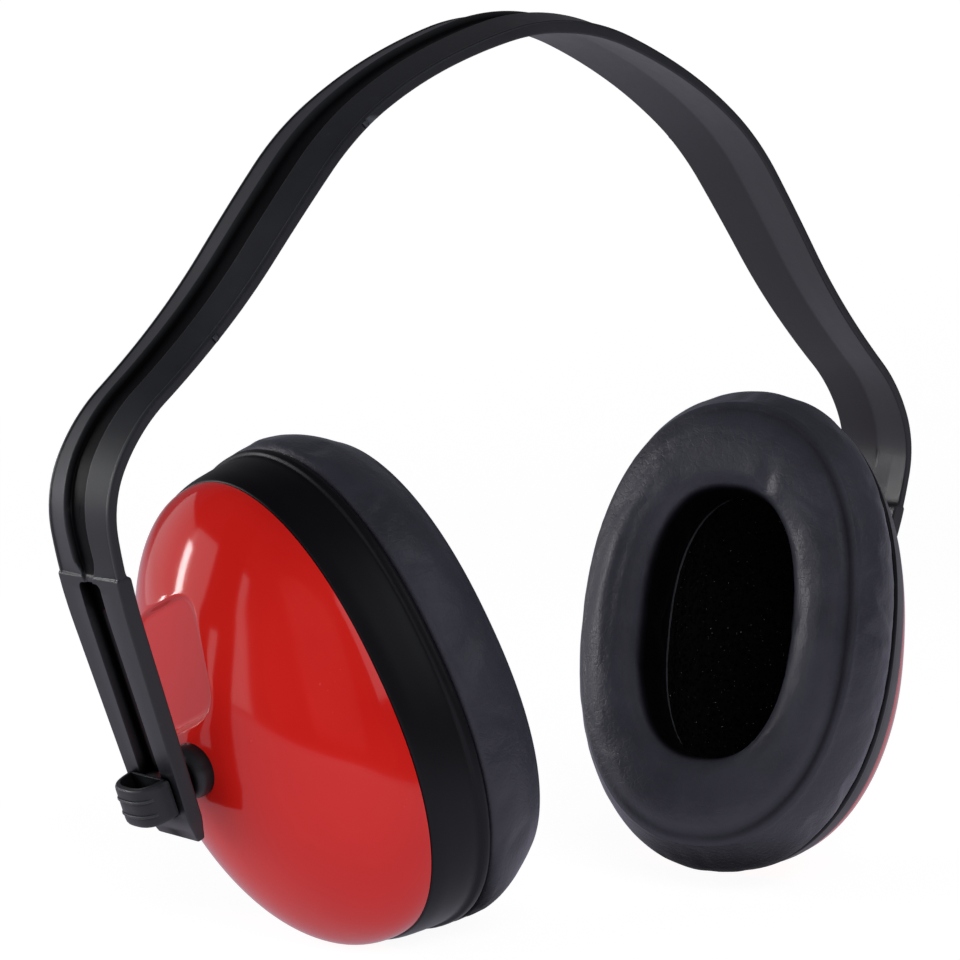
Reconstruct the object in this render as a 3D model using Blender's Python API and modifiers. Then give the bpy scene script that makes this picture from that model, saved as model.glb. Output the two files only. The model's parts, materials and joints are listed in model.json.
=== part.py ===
"""Over-the-head earmuff hearing protector: one moulded headband with two slotted
arms, and on each side a slider, a ball stud and a complete ear cup.

Frame: origin at the bottom centre of the whole object, under the crown, +X from the
left cup to the right cup, +Z up to the crown, Y fore and aft.  Dimensions are in
millimetres here and are turned into metres when a mesh is made.
"""

import math

import bmesh
import bpy
from mathutils import Matrix, Vector

MM = 0.001
GAP = 0.3

# ---- headband: centre line of the outer face, from the crown down one side ----
EAR_Z = 38.67               # height of the wearer's ear axis above the origin
BAND_Y = 5.23               # fore-aft place of the band's middle plane
CROWN_Z = EAR_Z + 152.0
# (end station along the band, heading there in degrees below horizontal); between
# two stations the band is one circular arc
CROWN_ARC = ((18.0, 18.0), (35.0, 24.5), (55.0, 34.5))
SHOULDER = ((75.0, 50.5), (97.0, 52.5))
FLARE = ((117.0, 45.5), (134.0, 41.0))
KNEE = ((150.0, 65.0), (165.0, 102.0), (184.0, 111.0))
ARM_END = 231.0
ARM_HEADING = 111.0
STATION_STEP = 6.5
WIDTHS = ((0.0, 26.6), (66.0, 24.4), (121.0, 21.8), (154.0, 20.6), (176.0, 20.0), (ARM_END, 16.0))
CROWN_CANT = 4.0            # the crown leans forward, and is level again at the shoulder
CANT_LENGTH = 62.0
EDGE_WALL = ((0.0, 2.8), (25.0, 2.4), (60.0, 2.0), (ARM_END, 2.0))   # wall at the long edges
RIDGE = ((0.0, 2.2), (150.0, 2.2), (172.0, 0.5), (ARM_END, 0.5))   # shallow roof: the middle stands out by this
BAND_CREASE = 1.4           # the inner face is two shallow planes meeting this much deeper
GROOVE_SHARE = 0.36         # outer groove mouth, as a share of the width
GROOVE_DEPTH = 1.2

# ---- slotted arm ----
LEDGE = 173.0               # station of the moulded step where the arm thickens
ARM_RAISE = 0.45            # rails stand this much prouder below the step
ARM_INNER = 3.0             # inner face of the arm, below the outer band face
CHANNEL_WIDTH = 6.8
CHANNEL_FLOOR = 1.3
CHANNEL_START = 178.0
CHANNEL_END = 226.5
SLIT_WIDTH = 4.0
SLIT_START = 181.0
SLIT_END = 223.5

# ---- ball joint ----
PIVOT_STATION = {-1: 219.9, 1: 216.5}   # where each slider stands along its arm
STAND_OFF = 8.4             # ball centre from the band's outer face
BALL_R = 3.4
NECK_R = 1.4
SEAT_R = 4.3
SOCKET_R = 5.6
FLANGE_R = 3.4

# ---- slider knob ----
KNOB_WIDTH = 12.6
KNOB_HEIGHT = 7.8
KNOB_PROUD = 6.0
KNOB_WALL = 1.7

# ---- ear cup, measured from the ball centre along the cup's own axis ----
RED_PLANE = 28.0            # where the shell meets the rim
RED_A, RED_B = 50.5, 32.4   # half height and half width there
DOME_H = 27.0
DOME_POWER = 1.95           # fullness of the dome below the pivot
DOME_POWER_TOP = 1.6        # the upper half slopes off flatter
SHELL_WALL = 2.2
CUP_LIFT = 2.3              # the oval's centre stands this far above the ball
OVAL_N = 2.2
PANEL_HALF = 12.0           # flat recess that clears the arm
PANEL_BOTTOM, PANEL_TOP = 7.5, 36.0
PANEL_FLOOR = 4.4
RIM_DEPTH = 13.2
CUSHION_OUT = 2.0           # widest cushion outline beyond the red edge outline
OPEN_A, OPEN_B, OPEN_N = 30.6, 17.5, 2.45
OPEN_DROP = 0.3
LINER_INSET, LINER_WALL, LINER_EDGE = 5.0, 6.5, 33.6
CREASE_X = 59.4
CREST_X = 63.4

# ---- how each cup sits on its ball: turn about the cup axis, nod, and yaw ----
POSE_LEFT = (-23.5, -14.0, 2.0)
POSE_RIGHT = (-1.0, 15.5, 22.0)

for obj in list(bpy.data.objects):
    bpy.data.objects.remove(obj, do_unlink=True)

PARTS = bpy.data.collections.new("earmuff_hearing_protector")
CUTTERS = bpy.data.collections.new("cutters")
for made in (PARTS, CUTTERS):
    bpy.context.scene.collection.children.link(made)
CUTTERS.hide_render = True


def material(name, colour, roughness, metallic=0.0):
    made = bpy.data.materials.new(name)
    made.use_nodes = True
    shader = made.node_tree.nodes["Principled BSDF"]
    shader.inputs["Base Color"].default_value = (*colour, 1.0)
    shader.inputs["Roughness"].default_value = roughness
    shader.inputs["Metallic"].default_value = metallic
    return made


def spawn(name, mesh, mat, parent=None, matrix=None, collection=PARTS):
    obj = bpy.data.objects.new(name, mesh)
    collection.objects.link(obj)
    if mat:
        mesh.materials.append(mat)
    if parent is not None:
        obj.parent = parent
    if matrix is not None:
        obj.matrix_local = matrix
    if collection is CUTTERS:
        obj.hide_render = True
        obj.display_type = "WIRE"
    return obj


def mesh_of(bm, name, smooth=35.0):
    bmesh.ops.recalc_face_normals(bm, faces=bm.faces)
    if bm.calc_volume(signed=True) < 0:
        bmesh.ops.reverse_faces(bm, faces=bm.faces)
    mesh = bpy.data.meshes.new(name)
    bm.to_mesh(mesh)
    bm.free()
    mesh.shade_smooth()
    mesh.set_sharp_from_angle(angle=math.radians(smooth))
    return mesh


def boolean(obj, other, operation="DIFFERENCE"):
    cut = obj.modifiers.new(operation.lower(), "BOOLEAN")
    cut.operation = operation
    cut.object = other
    cut.solver = "EXACT"


def bevel(obj, width, segments=2, angle=30.0):
    rounded = obj.modifiers.new("rounding", "BEVEL")
    rounded.width = width * MM
    rounded.segments = segments
    rounded.limit_method = "ANGLE"
    rounded.angle_limit = math.radians(angle)
    return rounded


def mix(a, b, t):
    return a + (b - a) * t


def smooth(edge0, edge1, value):
    t = min(1.0, max(0.0, (value - edge0) / (edge1 - edge0)))
    return t * t * (3 - 2 * t)


def along(table, s):
    for (s0, v0), (s1, v1) in zip(table, table[1:]):
        if s <= s1:
            return mix(v0, v1, (s - s0) / (s1 - s0))
    return table[-1][1]


# ---------------------------------------------------------------- headband path
HEADINGS = ((0.0, 0.0), *CROWN_ARC, *SHOULDER, *FLARE, *KNEE, (ARM_END, ARM_HEADING))


def band_point(station):
    """(x, z, heading) of the outer face's centre line on the +X side."""
    x, z, step = 0.0, CROWN_Z, 0.25
    s = 0.0
    while s < station - 1e-9:
        ds = min(step, station - s)
        turn = math.radians(along(HEADINGS, s + ds / 2))
        x += math.cos(turn) * ds
        z -= math.sin(turn) * ds
        s += ds
    return x, z, math.radians(along(HEADINGS, station))


def band_section(s):
    """Outline across the band: (fore-aft, depth inward from the outer face)."""
    half = along(WIDTHS, s) / 2
    thick = smooth(LEDGE - 0.6, LEDGE + 0.6, s)
    out = -ARM_RAISE * thick
    inner = mix(along(EDGE_WALL, s), ARM_INNER, thick)
    crease = mix(BAND_CREASE, 0.0, smooth(LEDGE - 14, LEDGE, s))
    gmouth = half * GROOVE_SHARE
    gfloor = gmouth - mix(1.3, 0.5, smooth(60, 130, s))
    depth = GROOVE_DEPTH * (1 - 0.85 * thick)
    top = out - along(RIDGE, s) * (1 - GROOVE_SHARE) * (1 - thick)
    land = 1.6
    return (
        (half, out), (gmouth, top), (gfloor, top + depth), (-gfloor, top + depth),
        (-gmouth, top), (-half, out), (-half, inner), (-land, inner - crease),
        (land, inner - crease), (half, inner),
    )


def band_ring(s, side):
    x, z, turn = band_point(abs(s))
    inward = Vector((-math.sin(turn), 0, -math.cos(turn)))
    cant = math.radians(CROWN_CANT) * (1 - smooth(0, CANT_LENGTH, abs(s)))
    ring = []
    for y, depth in band_section(abs(s)):
        across = y * math.cos(cant) + depth * math.sin(cant)
        down = depth * math.cos(cant) - y * math.sin(cant)
        point = Vector((x, across, z)) + inward * down
        ring.append(Vector((side * point.x, point.y + BAND_Y, point.z)))
    return ring


def headband_mesh():
    stations = [4.0]
    while stations[-1] < LEDGE - 5:
        stations.append(stations[-1] + STATION_STEP)
    stations = [s for s in stations if s < LEDGE - 3]
    stations += [LEDGE - 0.6, LEDGE + 0.6, 184.0, ARM_END - 6.0]
    bm = bmesh.new()
    rings = [[bm.verts.new(p * MM) for p in band_ring(s, -1)] for s in reversed(stations)]
    rings += [[bm.verts.new(p * MM) for p in band_ring(s, 1)] for s in stations]
    # the tip: the outer side slopes back to a thinner end
    for sign in (-1, 1):
        ring = []
        for (y, depth), p in zip(band_section(ARM_END), band_ring(ARM_END, sign)):
            x, z, turn = band_point(ARM_END)
            inward = Vector((-math.sin(turn) * sign, 0, -math.cos(turn)))
            q = Vector((p.x, BAND_Y + (p.y - BAND_Y) * 0.82, p.z))
            if depth < 1.0:
                q += inward * 1.5
            ring.append(bm.verts.new(q * MM))
        rings.insert(0 if sign < 0 else len(rings), ring)
    for one, two in zip(rings, rings[1:]):
        n = len(one)
        for i in range(n):
            j = (i + 1) % n
            bm.faces.new((one[i], one[j], two[j], two[i]))
    bm.faces.new(rings[0])
    bm.faces.new(list(reversed(rings[-1])))
    bmesh.ops.triangulate(bm, faces=[f for f in bm.faces if len(f.verts) > 4])
    return mesh_of(bm, "headband", 25)


def arm_frame(side, station):
    """Matrix whose X is the arm's inward normal, Y fore-aft and Z up along the arm."""
    x, z, turn = band_point(station)
    inward = Vector((-math.sin(turn) * side, 0, -math.cos(turn)))
    upward = Vector((-math.cos(turn) * side, 0, math.sin(turn)))
    fore = upward.cross(inward)
    frame = Matrix((inward, fore, upward)).transposed().to_4x4()
    frame.translation = Vector((side * x, BAND_Y, z)) * MM
    return frame


def box(name, size, centre, matrix, collection=CUTTERS, mat=None, parent=None):
    bm = bmesh.new()
    bmesh.ops.create_cube(bm, size=1.0)
    bmesh.ops.scale(bm, vec=Vector(size) * MM, verts=bm.verts)
    bmesh.ops.translate(bm, vec=Vector(centre) * MM, verts=bm.verts)
    return spawn(name, mesh_of(bm, name), mat, parent, matrix, collection)


BLACK = (0.018, 0.019, 0.022)
band_plastic = material("band_plastic", BLACK, 0.38)
headband = spawn("headband", headband_mesh(), band_plastic)

for side, word in ((-1, "left"), (1, "right")):
    channel_mid = (CHANNEL_START + CHANNEL_END) / 2
    slit_mid = (SLIT_START + SLIT_END) / 2
    frame = arm_frame(side, channel_mid)
    cut = box(f"{word}_channel_cutter",
              (ARM_RAISE + CHANNEL_FLOOR + 4, CHANNEL_WIDTH, CHANNEL_END - CHANNEL_START),
              ((CHANNEL_FLOOR - ARM_RAISE - 4) / 2 + 0.0, 0, 0), frame)
    boolean(headband, cut)
    cut = box(f"{word}_slit_cutter", (12, SLIT_WIDTH, SLIT_END - SLIT_START),
              (2, 0, 0), arm_frame(side, slit_mid))
    boolean(headband, cut)

# ---------------------------------------------------------------- ear cup shapes


def oval(theta, half_a, half_b, power=OVAL_N, drop=0.0):
    """(y, z) of a superellipse; theta runs from the top."""
    c, s = math.cos(theta), math.sin(theta)
    y = math.copysign(abs(s) ** (2 / power), s) * half_b
    z = math.copysign(abs(c) ** (2 / power), c) * half_a
    return y, z + CUP_LIFT - drop


def dome_x(y, z, inset=0.0, recess=True):
    """Height of the shell's outer skin over the oval, with the flat arm recess."""
    a, b = RED_A - inset, RED_B - inset
    rho = (abs((z - CUP_LIFT) / a) ** OVAL_N + abs(y / b) ** OVAL_N) ** (1 / OVAL_N)
    rho = min(rho, 1.0)
    power = mix(DOME_POWER, DOME_POWER_TOP, smooth(-14, 24, z))
    height = (DOME_H - inset) * (1 - rho ** power) ** (1 / power)
    x = RED_PLANE - height
    side = 1 - smooth(PANEL_HALF - 1.6, PANEL_HALF + 0.8, abs(y))
    ends = smooth(PANEL_BOTTOM - 1.2, PANEL_BOTTOM + 1.2, z) * (1 - smooth(PANEL_TOP - 2, PANEL_TOP + 2, z))
    floor = PANEL_FLOOR + inset
    if recess and x < floor:
        x = mix(x, floor, side * ends)
    return x


def dome_mesh(name, side, segments, rings, inset, wall, back, recess=True):
    """Closed bowl: two UV-sphere caps drawn out over the oval, one this wall inside
    the other, joined round their open edge.  back is the x of that edge."""
    bm = bmesh.new()
    loops = []
    for skin in (inset, inset + wall):
        loop = []
        made = bmesh.ops.create_uvsphere(bm, u_segments=segments, v_segments=2 * rings, radius=1.0)
        lower = [v for v in made["verts"] if v.co.z < -1e-4]
        upper = [v for v in made["verts"] if v.co.z >= -1e-4]
        bmesh.ops.delete(bm, geom=lower, context="VERTS")
        for v in upper:
            rho = math.acos(max(-1.0, min(1.0, v.co.z))) / (math.pi / 2)
            rim = rho > 0.9999
            rho = 1 - (1 - rho) ** 1.4
            theta = math.atan2(v.co.x, v.co.y)
            y, z = oval(theta, (RED_A - skin) * rho, (RED_B - skin) * rho)
            x = back if rim else dome_x(y, z, skin, recess) + back - RED_PLANE
            v.co = Vector((side * x, y, z)) * MM
            if rim:
                loop.append((theta, v))
        loops.append([v for _, v in sorted(loop, key=lambda item: item[0])])
    count = len(loops[0])
    for i in range(count):
        j = (i + 1) % count
        bm.faces.new((loops[0][i], loops[0][j], loops[1][j], loops[1][i]))
    return mesh_of(bm, name, 40)


def ring_mesh(name, side, section, segments):
    """Closed ring: a torus whose every minor loop is moved onto the section at its
    place round the oval.  A section point is (blend, x): blend 0 is the widest
    cushion outline and 1 the ear opening."""
    bpy.ops.mesh.primitive_torus_add(major_segments=segments, minor_segments=len(section))
    torus = bpy.context.object
    mesh = torus.data
    bm = bmesh.new()
    bm.from_mesh(mesh)
    bpy.data.objects.remove(torus, do_unlink=True)
    bm.verts.ensure_lookup_table()
    minor = len(section)
    for i in range(segments):
        theta = 2 * math.pi * (i + 0.5) / segments
        oy, oz = oval(theta, RED_A + CUSHION_OUT, RED_B + CUSHION_OUT)
        iy, iz = oval(theta, OPEN_A, OPEN_B, OPEN_N, OPEN_DROP)
        for j, (blend, x) in enumerate(section):
            bm.verts[i * minor + j].co = Vector(
                (side * x, mix(oy, iy, blend), mix(oz, iz, blend))) * MM
    mesh.name = name
    made = mesh_of(bm, name, 40)
    return made


def turned(name, profile, mat, parent, matrix, segments=24):
    """Solid of revolution about local Z from (radius, height) points, top to bottom."""
    mesh = bpy.data.meshes.new(name)
    mesh.from_pydata([(r * MM, 0, h * MM) for r, h in profile],
                     [(i, i + 1) for i in range(len(profile) - 1)], [])
    obj = spawn(name, mesh, mat, parent, matrix)
    screw = obj.modifiers.new("turn", "SCREW")
    screw.axis = "Z"
    screw.angle = math.radians(360)
    screw.steps = screw.render_steps = segments
    screw.use_merge_vertices = True
    screw.merge_threshold = 0.000001
    screw.use_smooth_shade = True
    return obj


def arc_points(radius, start, end, count):
    """(radius, height) along a circle; angles in degrees from +height."""
    return [(radius * math.sin(math.radians(mix(start, end, i / (count - 1)))),
             radius * math.cos(math.radians(mix(start, end, i / (count - 1)))))
            for i in range(count)]


def edge_share(offset):
    """Blend that stands this many millimetres inside the widest cushion outline."""
    return offset / 19.8


RIM_BACK = RED_PLANE + GAP
RIM_FRONT = RED_PLANE + RIM_DEPTH
RIM_SECTION = [(edge_share(o), x) for o, x in (
    (2.7, RIM_BACK), (1.0, RIM_BACK + 4.2), (0.0, RIM_FRONT - 1.6),
    (-0.8, RIM_FRONT - 0.9), (-1.0, RIM_FRONT + 0.2), (-0.5, RIM_FRONT + 1.0),
    (0.9, RIM_FRONT + 1.0), (0.9, RIM_FRONT - 0.8), (3.6, RIM_FRONT - 0.8),
    (3.6, RIM_FRONT - 2.4), (2.3, RIM_FRONT - 2.6), (5.0, RIM_BACK))]
PLATE_BACK = RIM_FRONT - 0.8 + GAP
PLATE_SECTION = [(1.2 / 19.8, PLATE_BACK), (1.2 / 19.8, PLATE_BACK + 1.6),
                 (0.93, PLATE_BACK + 1.6), (0.93, PLATE_BACK)]
COVER_BACK = PLATE_BACK + 1.6 + GAP
COVER_OUT = [(0.07, COVER_BACK), (0.0, COVER_BACK + 2.2), (-0.01, COVER_BACK + 7.0),
             (0.03, CREASE_X - 2.6), (0.13, CREASE_X), (0.42, CREST_X - 1.2),
             (0.72, CREST_X), (0.93, CREST_X - 1.6), (1.01, CREST_X - 5.5),
             (0.98, COVER_BACK)]
COVER_IN = [(0.93, COVER_BACK), (0.96, CREST_X - 5.6), (0.89, CREST_X - 2.5),
            (0.71, CREST_X - 1.0), (0.43, CREST_X - 2.2), (0.16, CREASE_X - 0.9),
            (0.08, CREASE_X - 3.0), (0.045, COVER_BACK + 7.0), (0.06, COVER_BACK + 2.4),
            (0.12, COVER_BACK)]
FOAM_SECTION = [(0.15, COVER_BACK + GAP), (0.085, COVER_BACK + 2.6), (0.07, COVER_BACK + 7.0),
                (0.11, CREASE_X - 3.4), (0.20, CREASE_X - 1.5), (0.44, CREST_X - 2.8),
                (0.70, CREST_X - 1.6), (0.87, CREST_X - 3.1), (0.935, CREST_X - 5.9),
                (0.90, COVER_BACK + GAP)]

shell_red = material("shell_red", (0.60, 0.012, 0.008), 0.14)
rim_black = material("rim_black", (0.014, 0.015, 0.017), 0.42)
plate_black = material("plate_black", (0.02, 0.02, 0.022), 0.5)
leatherette = material("leatherette", (0.022, 0.022, 0.026), 0.48)
pad_foam = material("pad_foam", (0.30, 0.29, 0.27), 0.95)
liner_foam = material("liner_foam", (0.012, 0.012, 0.013), 0.98)
slider_plastic = material("slider_plastic", (0.016, 0.017, 0.019), 0.4)
stud_acetal = material("stud_acetal", (0.02, 0.02, 0.022), 0.3)
seat_nylon = material("seat_nylon", (0.08, 0.08, 0.085), 0.45)
clip_steel = material("clip_steel", (0.55, 0.55, 0.56), 0.3, 1.0)

SEG = 34


def build_side(side, word, pose):
    """side is -1 for the cup on -X; the cup's own axis points to the head."""
    arm = arm_frame(side, PIVOT_STATION[side])
    ball = arm @ Matrix.Translation(Vector((STAND_OFF * MM, 0, 0)))
    inward = -side     # world X direction from this cup to the head
    spin, nod, yaw = (math.radians(v) for v in pose)
    turn = (Matrix.Rotation(yaw, 4, "Z") @ Matrix.Rotation(nod, 4, "Y")
            @ Matrix.Rotation(spin, 4, "X"))
    cup = bpy.data.objects.new(f"{word}_cup_pivot", None)
    PARTS.objects.link(cup)
    cup.matrix_world = Matrix.Translation(ball.translation) @ turn

    # slider: a hollow oblong knob outside the arm, its foot running in the channel
    rest = -ARM_RAISE - GAP
    slider = bpy.data.objects.new(f"{word}_slider_carriage", None)
    PARTS.objects.link(slider)
    slider.matrix_world = arm
    knob = box(f"{word}_slider_knob", (KNOB_PROUD, KNOB_WIDTH, KNOB_HEIGHT),
               (rest - KNOB_PROUD / 2, 0, 0), Matrix(), PARTS, slider_plastic, slider)
    bevel(knob, 1.3, 3)
    trough = box(f"{word}_knob_trough_cutter",
                 (KNOB_PROUD - 2.0 * KNOB_WALL, KNOB_WIDTH - 2.2 * KNOB_WALL, 6.0),
                 (rest - KNOB_PROUD / 2 - 0.3, 0, KNOB_HEIGHT / 2 + 0.6), Matrix(), parent=slider)
    boolean(knob, trough)
    foot = box(f"{word}_knob_foot_joiner",
               (CHANNEL_FLOOR - GAP - rest + 1.0, CHANNEL_WIDTH - 2 * GAP, KNOB_HEIGHT - 1.0),
               ((CHANNEL_FLOOR - GAP + rest - 1.0) / 2, 0, 0), Matrix(), parent=slider)
    boolean(knob, foot, "UNION")
    for name, height in (("upper", 1.7), ("lower", -1.4)):
        rib = box(f"{word}_{name}_rib_joiner", (1.0, KNOB_WIDTH - 4.0, 0.55),
                  (rest - KNOB_PROUD + 0.15, 0, height), Matrix(), parent=slider)
        boolean(knob, rib, "UNION")
    bm = bmesh.new()
    bmesh.ops.create_cone(bm, cap_ends=True, segments=24, radius1=(NECK_R + GAP) * MM,
                          radius2=(NECK_R + GAP) * MM, depth=6.0 * MM,
                          matrix=Matrix.Translation(Vector((-0.4 * MM, 0, 0))) @ Matrix.Rotation(math.pi / 2, 4, "Y"))
    bore = spawn(f"{word}_knob_bore_cutter", mesh_of(bm, "bore"), None, slider, Matrix(), CUTTERS)
    boolean(knob, bore)

    # ball stud: shank, shoulder flange, neck and ball, turned about the arm's normal
    stud_frame = ball @ Matrix.Rotation(math.pi / 2, 4, "Y")
    shank = -(STAND_OFF + 2.6)
    neck_angle = 180 - math.degrees(math.asin(NECK_R / BALL_R))
    stud_profile = [(0.0, BALL_R)] + arc_points(BALL_R, 15, neck_angle, 8) + [
        (NECK_R, -4.5), (FLANGE_R, -4.6), (FLANGE_R, -5.1), (NECK_R, -5.2),
        (NECK_R, shank), (0.0, shank)]
    turned(f"{word}_pivot_stud", stud_profile, stud_acetal, None, stud_frame, 16)

    # split seat between ball and socket: a spherical zone
    seat_profile = (arc_points(SEAT_R, 90 - 33, 90 + 33, 4)
                    + arc_points(BALL_R + GAP, 90 + 33, 90 - 33, 4))
    seat_profile.append(seat_profile[0])
    cup_axis = Matrix.Rotation(-side * math.pi / 2, 4, "Y")
    seat = turned(f"{word}_ball_seat", seat_profile, seat_nylon, cup, cup_axis, 16)
    split = box(f"{word}_seat_split_cutter", (12, 1.0, 8), (0, 0, -4), Matrix(), parent=cup)
    boolean(seat, split)

    # socket insert: collar round the ball, through the shell, with a front lip
    inner = SEAT_R + GAP
    cavity = arc_points(inner, 90 - 48, 90 + 34.5, 6)
    socket_profile = ([(SOCKET_R, 9.2), (SOCKET_R, -0.8), (SOCKET_R - 0.5, -1.9),
                       (SOCKET_R - 1.2, -2.6), (3.85, -2.6)]
                      + list(reversed(cavity)) + [(3.4, 9.2)])
    socket_profile.append(socket_profile[0])
    turned(f"{word}_ball_socket", socket_profile, slider_plastic, cup, cup_axis, 20)

    # spring clip that holds the socket behind the shell wall
    clip = turned(f"{word}_socket_clip",
                  [(8.2, 8.3), (8.2, 7.4), (SOCKET_R + GAP, 7.4), (SOCKET_R + GAP, 8.3), (8.2, 8.3)],
                  clip_steel, cup, cup_axis, 24)
    opening = box(f"{word}_clip_gap_cutter", (4, 3.0, 8), (inward * 7.8, 0, -8.5), Matrix(), parent=cup)
    boolean(clip, opening)

    # red shell
    shell = spawn(f"{word}_cup_shell",
                  dome_mesh(f"{word}_cup_shell", inward, 40, 10, 0.0, SHELL_WALL, RED_PLANE),
                  shell_red, cup, Matrix())
    bm = bmesh.new()
    bmesh.ops.create_cone(bm, cap_ends=True, segments=24, radius1=(SOCKET_R + GAP) * MM,
                          radius2=(SOCKET_R + GAP) * MM, depth=24 * MM,
                          matrix=Matrix.Rotation(math.pi / 2, 4, "Y"))
    hole = spawn(f"{word}_shell_hole_cutter", mesh_of(bm, "hole"), None, cup, Matrix(), CUTTERS)
    boolean(shell, hole)

    # acoustic foam lining inside the shell
    spawn(f"{word}_foam_liner",
          dome_mesh(f"{word}_foam_liner", inward, 28, 6, LINER_INSET, LINER_WALL, LINER_EDGE, False),
          liner_foam, cup, Matrix())

    # black rim, cushion carrier, cushion foam and its cover
    spawn(f"{word}_cup_rim", ring_mesh(f"{word}_cup_rim", inward, RIM_SECTION, SEG), rim_black, cup, Matrix())
    spawn(f"{word}_cushion_plate", ring_mesh(f"{word}_cushion_plate", inward, PLATE_SECTION, SEG), plate_black, cup, Matrix())
    spawn(f"{word}_cushion_foam", ring_mesh(f"{word}_cushion_foam", inward, FOAM_SECTION, 26), pad_foam, cup, Matrix())
    spawn(f"{word}_cushion_cover", ring_mesh(f"{word}_cushion_cover", inward, COVER_OUT + COVER_IN, SEG), leatherette, cup, Matrix())


build_side(-1, "left", POSE_LEFT)
build_side(1, "right", POSE_RIGHT)
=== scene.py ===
"""Earmuff hearing protector, drawn round its CAD frame.

The headband arches over the head in the XZ plane: +X is the wearer-side called
right, -X left, -Y the front and +Z up.  Each arm carries a slider knob and a cup.
Pieces are modelled in millimetres and turned into metres as their mesh is made.
The headband, knobs, shells, rims, cushions, foam bowls and sockets replace their
CAD nodes; studs, seats, clips and plates stay as CAD and get materials only.
"""
import json
import math

import bmesh
import bpy
import numpy as np
from mathutils import Matrix, Vector, noise


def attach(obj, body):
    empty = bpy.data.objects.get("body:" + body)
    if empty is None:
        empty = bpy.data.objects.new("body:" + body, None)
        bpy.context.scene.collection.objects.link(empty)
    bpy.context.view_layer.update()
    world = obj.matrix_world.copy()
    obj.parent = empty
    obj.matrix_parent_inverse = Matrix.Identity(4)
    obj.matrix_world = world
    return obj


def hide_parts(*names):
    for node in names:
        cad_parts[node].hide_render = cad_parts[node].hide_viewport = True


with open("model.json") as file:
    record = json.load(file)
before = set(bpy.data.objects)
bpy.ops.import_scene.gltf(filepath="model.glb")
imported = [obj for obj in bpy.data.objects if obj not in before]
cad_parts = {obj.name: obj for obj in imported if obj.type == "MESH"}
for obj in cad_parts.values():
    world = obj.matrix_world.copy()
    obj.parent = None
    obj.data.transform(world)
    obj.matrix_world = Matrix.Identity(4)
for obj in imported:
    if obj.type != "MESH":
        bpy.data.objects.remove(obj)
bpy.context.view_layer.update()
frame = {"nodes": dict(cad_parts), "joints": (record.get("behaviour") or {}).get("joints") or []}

JOINTS = {joint["name"]: joint for joint in frame["joints"]}
MM = 0.001
scene = bpy.context.scene

# ------------------------------------------------------------------ dimensions (mm)
GAP = 0.3                       # clearance between neighbouring parts

# Headband.  A station is the length along the band from the crown.
EAR_Z, BAND_Y = 38.67, 5.23
CROWN_Z = EAR_Z + 152.0
ARM_END = 231.0
PATH_STEP = 0.25
# (station, degrees the band has turned down from level)
HEADINGS = ((0.0, 0.0), (18.0, 18.0), (35.0, 24.5), (55.0, 34.5), (75.0, 50.5), (97.0, 52.5),
            (117.0, 45.5), (134.0, 41.0), (150.0, 65.0), (165.0, 102.0), (184.0, 111.0),
            (ARM_END, 111.0))
# (station, full width)
WIDTHS = ((0.0, 26.6), (66.0, 24.4), (121.0, 21.8), (154.0, 20.6), (176.0, 20.0), (ARM_END, 16.0))
CROWN_CANT, CANT_LENGTH = 4.0, 62.0     # degrees of tilt at the crown, station where it ends
EDGE_WALL = ((0.0, 2.8), (25.0, 2.4), (60.0, 2.0), (ARM_END, 2.0))      # (station, thickness)
RIDGE = ((0.0, 2.2), (150.0, 2.2), (172.0, 0.5), (ARM_END, 0.5))        # (station, height)
BAND_CREASE = 1.4               # hollow down the middle of the inner face
GROOVE_SHARE, GROOVE_DEPTH = 0.34, 1.45         # share of the half width, depth
LEDGE, ARM_RAISE, ARM_INNER = 173.0, 0.45, 3.0  # where the thick arm starts, its two faces
CHANNEL_WIDTH, CHANNEL_FLOOR, CHANNEL_START, CHANNEL_END = 7.0, 2.1, 174.2, 224.2
SLIT_WIDTH, SLIT_START, SLIT_END = 4.0, 181.0, 223.2
NIBS = ((-1, 117.5), (-1, 62.0), (1, 62.0))     # (side, station): left front, right rear edge

# Slider knob, ball socket
KNOB_WIDTH, KNOB_HEIGHT, KNOB_PROUD = 12.6, 7.8, 6.0
STAND_OFF = 8.4                 # arm's origin, outward of the stud joint
SEAT_R, SOCKET_R = 4.3, 5.6

# Cups.  X runs from the dome towards the head, Y fore and aft, Z up.
SHELL_EDGE, SHELL_HALF_Z, SHELL_HALF_Y, DOME_DEPTH = 28.0, 50.5, 32.4, 27.0
DOME_POWER, DOME_POWER_TOP = 1.95, 1.6
SHELL_WALL, CUP_LIFT, OVAL_POWER = 2.2, 2.3, 2.2
PANEL_HALF, PANEL_BOTTOM, PANEL_TOP, PANEL_FLOOR = 12.0, 7.5, 33.5, 4.4
PANEL_TILT, PANEL_WALL, PANEL_POWER = 0.25, 1.5, 4.6
RIM_DEPTH, CUSHION_OUT = 13.2, 2.0
OPEN_HALF_Z, OPEN_HALF_Y, OPEN_POWER, OPEN_DROP = 30.6, 17.5, 2.45, 0.3
OPEN_OFFSET = 19.8              # cushion offset that lies on the ear opening's oval
LINER_INSET, LINER_WALL, LINER_EDGE, LINER_LIP = 5.0, 6.5, 33.6, 6.0
CREASE_X, CREST_X = 59.4, 63.4
RIM_BACK = SHELL_EDGE + GAP
RIM_FRONT = SHELL_EDGE + RIM_DEPTH
PLATE_BACK = RIM_FRONT - 0.8 + GAP
COVER_BACK = PLATE_BACK + 1.6 + GAP
# degrees about the cup's X, Y and Z
POSE = {"left": (-23.5, -14.0, 2.0), "right": (-1.0, 15.5, 22.0)}


def mix(start, end, share):
    return start + (end - start) * share


def smooth(low, high, value):
    share = min(1.0, max(0.0, (value - low) / (high - low)))
    return share * share * (3 - 2 * share)


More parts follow.
